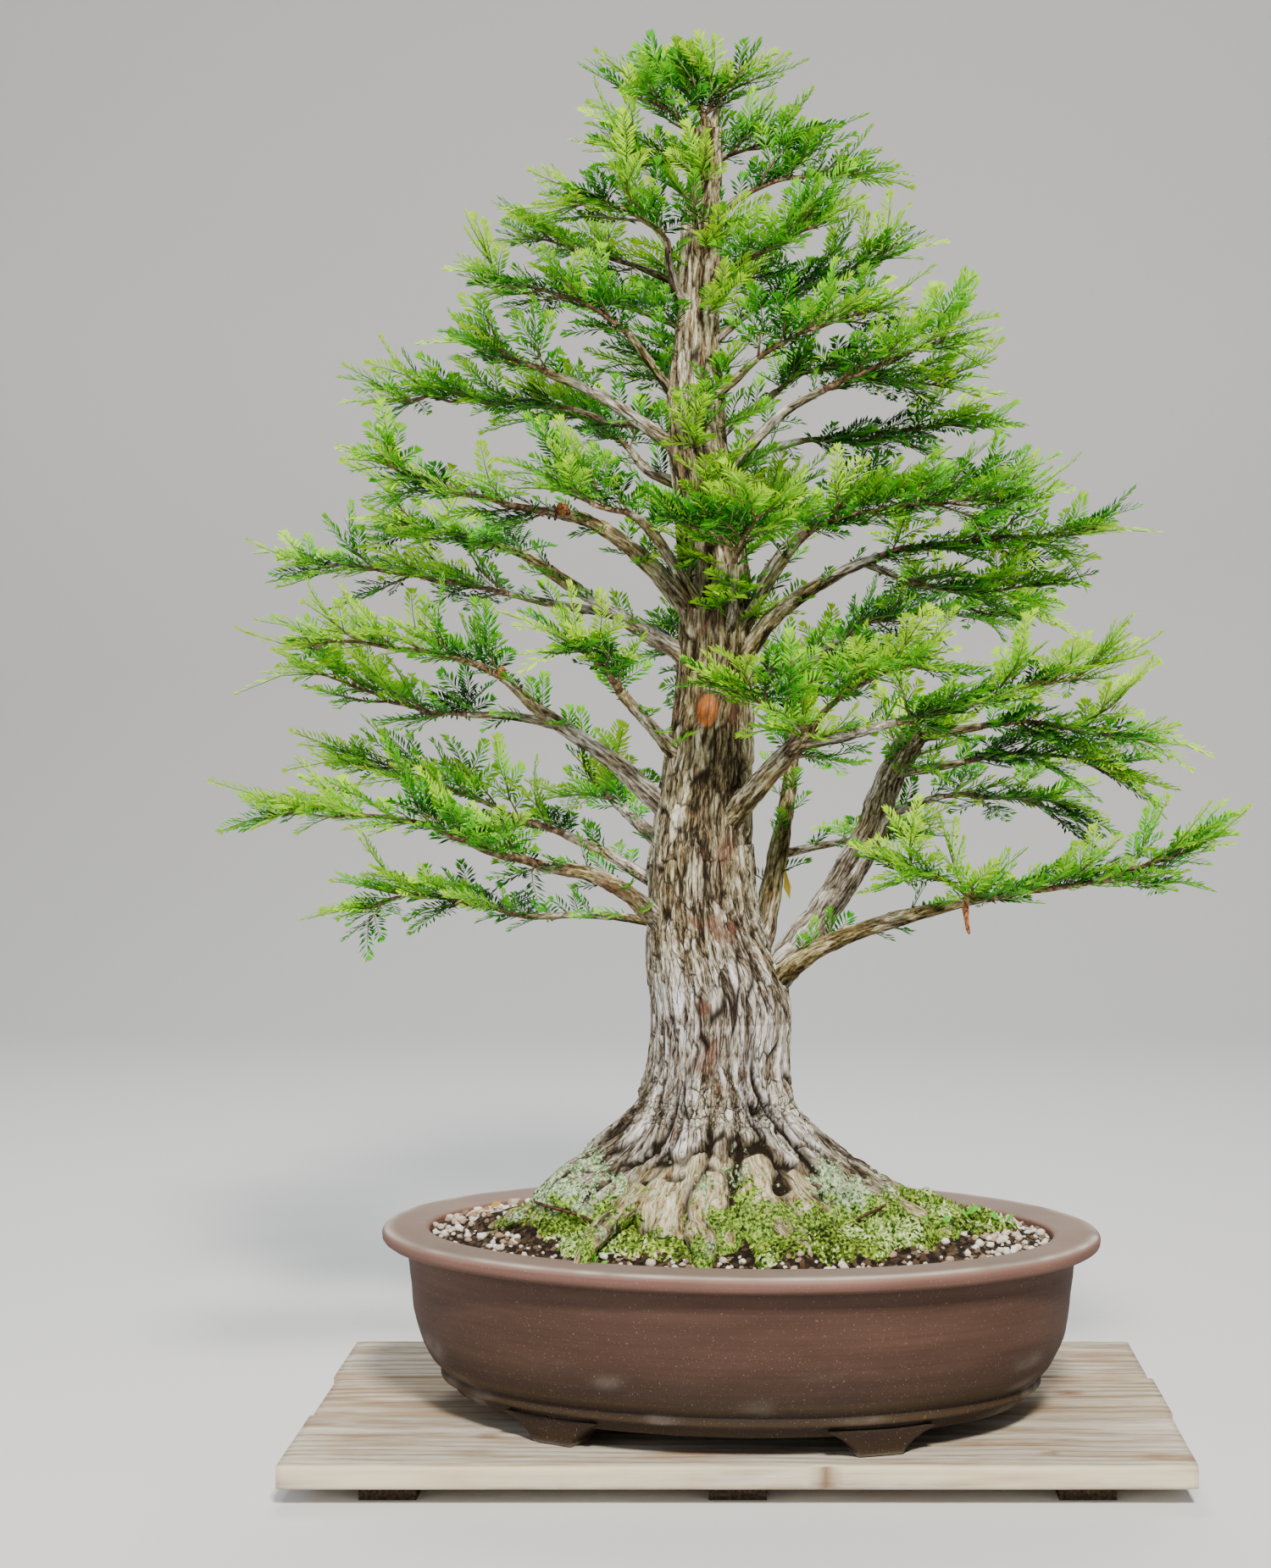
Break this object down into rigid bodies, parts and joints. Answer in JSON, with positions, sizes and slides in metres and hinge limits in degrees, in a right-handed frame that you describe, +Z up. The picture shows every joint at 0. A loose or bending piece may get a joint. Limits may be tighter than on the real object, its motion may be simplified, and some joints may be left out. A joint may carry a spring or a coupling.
{
  "type": "bald cypress bonsai",
  "caption": "Formal upright bald cypress bonsai with a flared root base, tapering trunk and tiers of feathery needle sprays, in an oval footed stoneware pot on a plank display board.",
  "frame": {"origin": "middle of the underside of the display board, on the flat of its middle batten", "axes": "+Z is up along the trunk, +X is the tree's right as it is shown, and -Y is its front"},
  "size_m": [0.6728, 0.3849, 0.9732],
  "materials": {
    "plank": "weathered grey-beige rough-sawn fence wood",
    "batten": "rough-sawn, shaded brown wood",
    "pot": "unglazed brown stoneware, fired matt with a dull sheen",
    "soil": "dark gritty bonsai soil with pumice and moss",
    "bark": "fibrous grey-tan bark that flakes in vertical strips",
    "tie_wire": "dull brown annealed wire",
    "foliage": "soft bright green needles on red-brown twigs"
  },
  "bodies": {
    "root": {"pot": "pot", "tie_wire_left": "tie_wire", "tie_wire_right": "tie_wire", "soil": "soil", "wood": "bark", "leaves_left_01": "foliage", "leaves_left_02": "foliage", "leaves_left_03": "foliage", "leaves_left_04": "foliage", "leaves_left_05": "foliage", "leaves_left_06": "foliage", "leaves_left_07": "foliage", "leaves_left_08": "foliage", "leaves_left_09": "foliage", "leaves_left_10": "foliage", "leaves_left_11": "foliage", "leaves_left_12": "foliage", "leaves_left_13": "foliage", "leaves_left_14": "foliage", "leaves_left_15": "foliage", "leaves_left_16": "foliage", "leaves_left_17": "foliage", "leaves_left_18": "foliage", "leaves_left_19": "foliage", "leaves_right_01": "foliage", "leaves_right_03": "foliage", "leaves_right_04": "foliage", "leaves_right_05": "foliage", "leaves_right_06": "foliage", "leaves_right_07": "foliage", "leaves_right_09": "foliage", "leaves_right_10": "foliage", "leaves_right_11": "foliage", "leaves_right_12": "foliage", "leaves_right_13": "foliage", "leaves_right_14": "foliage", "leaves_right_15": "foliage", "leaves_right_16": "foliage", "leaves_right_17": "foliage", "leaves_right_18": "foliage", "leaves_right_19": "foliage", "leaves_right_20": "foliage", "leaves_right_21": "foliage", "leaves_right_22": "foliage", "leaves_right_23": "foliage", "leaves_right_24": "foliage", "leaves_front_01": "foliage", "leaves_back_01": "foliage", "leaves_back_02": "foliage", "leaves_back_03": "foliage", "leaves_back_04": "foliage", "leaves_back_05": "foliage", "leaves_top_01": "foliage", "plank_front": "plank", "plank_middle": "plank", "plank_back": "plank", "batten_left": "batten", "batten_middle": "batten", "batten_right": "batten"}
  },
  "joints": []
}
